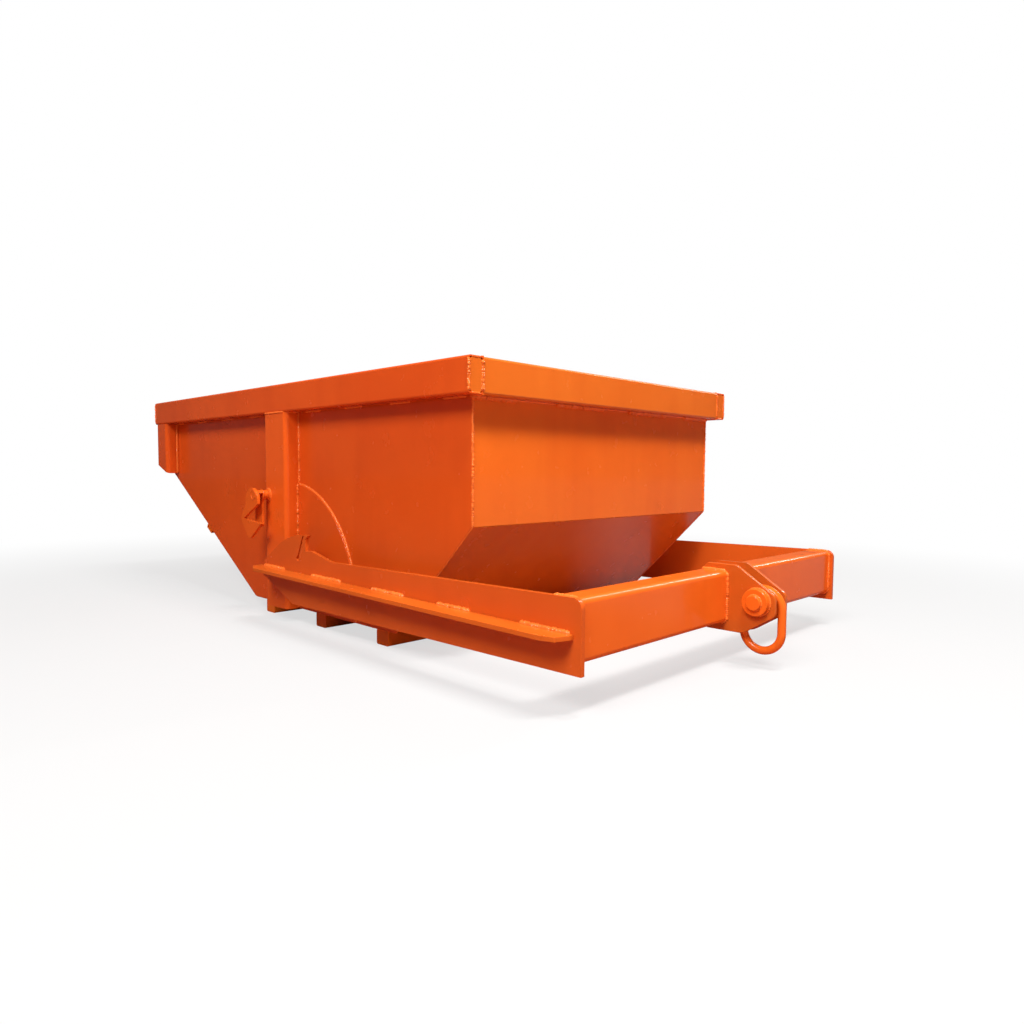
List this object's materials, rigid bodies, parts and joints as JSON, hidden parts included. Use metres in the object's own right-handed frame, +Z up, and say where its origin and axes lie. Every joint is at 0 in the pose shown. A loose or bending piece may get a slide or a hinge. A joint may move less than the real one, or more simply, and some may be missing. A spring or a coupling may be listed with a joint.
{
  "type": "self-dumping crane bin",
  "caption": "Sloped steel hopper with a tube rim on skids, hung in a swinging yoke with a lifting ring and held level by turning claw latches on its sides.",
  "frame": {"origin": "on the ground, in the middle of the overall length and width", "axes": "+X from the tipping edge towards the lifting ring, +Y to the left side, +Z up"},
  "size_m": [3.319, 1.8566, 1.024],
  "materials": {
    "hopper_paint": "glossy sprayed enamel",
    "rim_paint": "glossy sprayed enamel",
    "yoke_paint": "glossy sprayed enamel",
    "latch_paint": "glossy sprayed enamel"
  },
  "bodies": {
    "hopper": {"front_lip_plate": "hopper_paint", "front_slope_plate": "hopper_paint", "base_plate": "hopper_paint", "rear_slope_plate": "hopper_paint", "rear_wall": "hopper_paint", "skid_front": "hopper_paint", "skid_middle": "hopper_paint", "skid_rear": "hopper_paint", "slope_stiffener": "hopper_paint", "rim_front": "rim_paint", "rim_rear": "rim_paint", "side_plate_left": "hopper_paint", "rim_side_left": "rim_paint", "rim_cap_front_left": "rim_paint", "rim_cap_rear_left": "rim_paint", "front_post_left": "hopper_paint", "side_post_left": "hopper_paint", "pivot_doubler_left": "hopper_paint", "pivot_boss_left": "hopper_paint", "pivot_washer_left": "hopper_paint", "latch_collar_left": "latch_paint", "side_plate_right": "hopper_paint", "rim_side_right": "rim_paint", "rim_cap_front_right": "rim_paint", "rim_cap_rear_right": "rim_paint", "front_post_right": "hopper_paint", "side_post_right": "hopper_paint", "pivot_doubler_right": "hopper_paint", "pivot_boss_right": "hopper_paint", "pivot_washer_right": "hopper_paint", "latch_collar_right": "latch_paint"},
    "yoke": {"cross_beam": "yoke_paint", "lifting_pin": "yoke_paint", "yoke_arm_left": "yoke_paint", "arm_flange_bar_left": "yoke_paint", "lug_plate_left": "yoke_paint", "lug_boss_left": "yoke_paint", "pivot_pin_left": "yoke_paint", "yoke_arm_right": "yoke_paint", "arm_flange_bar_right": "yoke_paint", "lug_plate_right": "yoke_paint", "lug_boss_right": "yoke_paint", "pivot_pin_right": "yoke_paint"},
    "lifting_ring": {"lifting_ring": "yoke_paint"},
    "latch_left": {"latch_shaft_left": "latch_paint", "latch_claw_left": "latch_paint", "latch_cheek_left": "latch_paint", "latch_keeper_left": "latch_paint"},
    "latch_right": {"latch_shaft_right": "latch_paint", "latch_claw_right": "latch_paint", "latch_cheek_right": "latch_paint", "latch_keeper_right": "latch_paint"}
  },
  "joints": [
    {"name": "yoke_pivot", "type": "hinge", "parent": "hopper", "child": "yoke", "pos_m": [-0.2015, 0, 0.232], "axis": [0, -1, 0], "range_deg": [0, 90]},
    {"name": "ring_swing", "type": "hinge", "parent": "yoke", "child": "lifting_ring", "pos_m": [1.5785, 0, 0.232], "axis": [0, -1, 0], "range_deg": [-13, 193]},
    {"name": "latch_turn_left", "type": "hinge", "parent": "hopper", "child": "latch_left", "pos_m": [-0.3335, 0, 0.549], "axis": [0, 1, 0], "range_deg": [0, 90]},
    {"name": "latch_turn_right", "type": "hinge", "parent": "hopper", "child": "latch_right", "pos_m": [-0.3335, 0, 0.549], "axis": [0, 1, 0], "range_deg": [0, 90]}
  ]
}
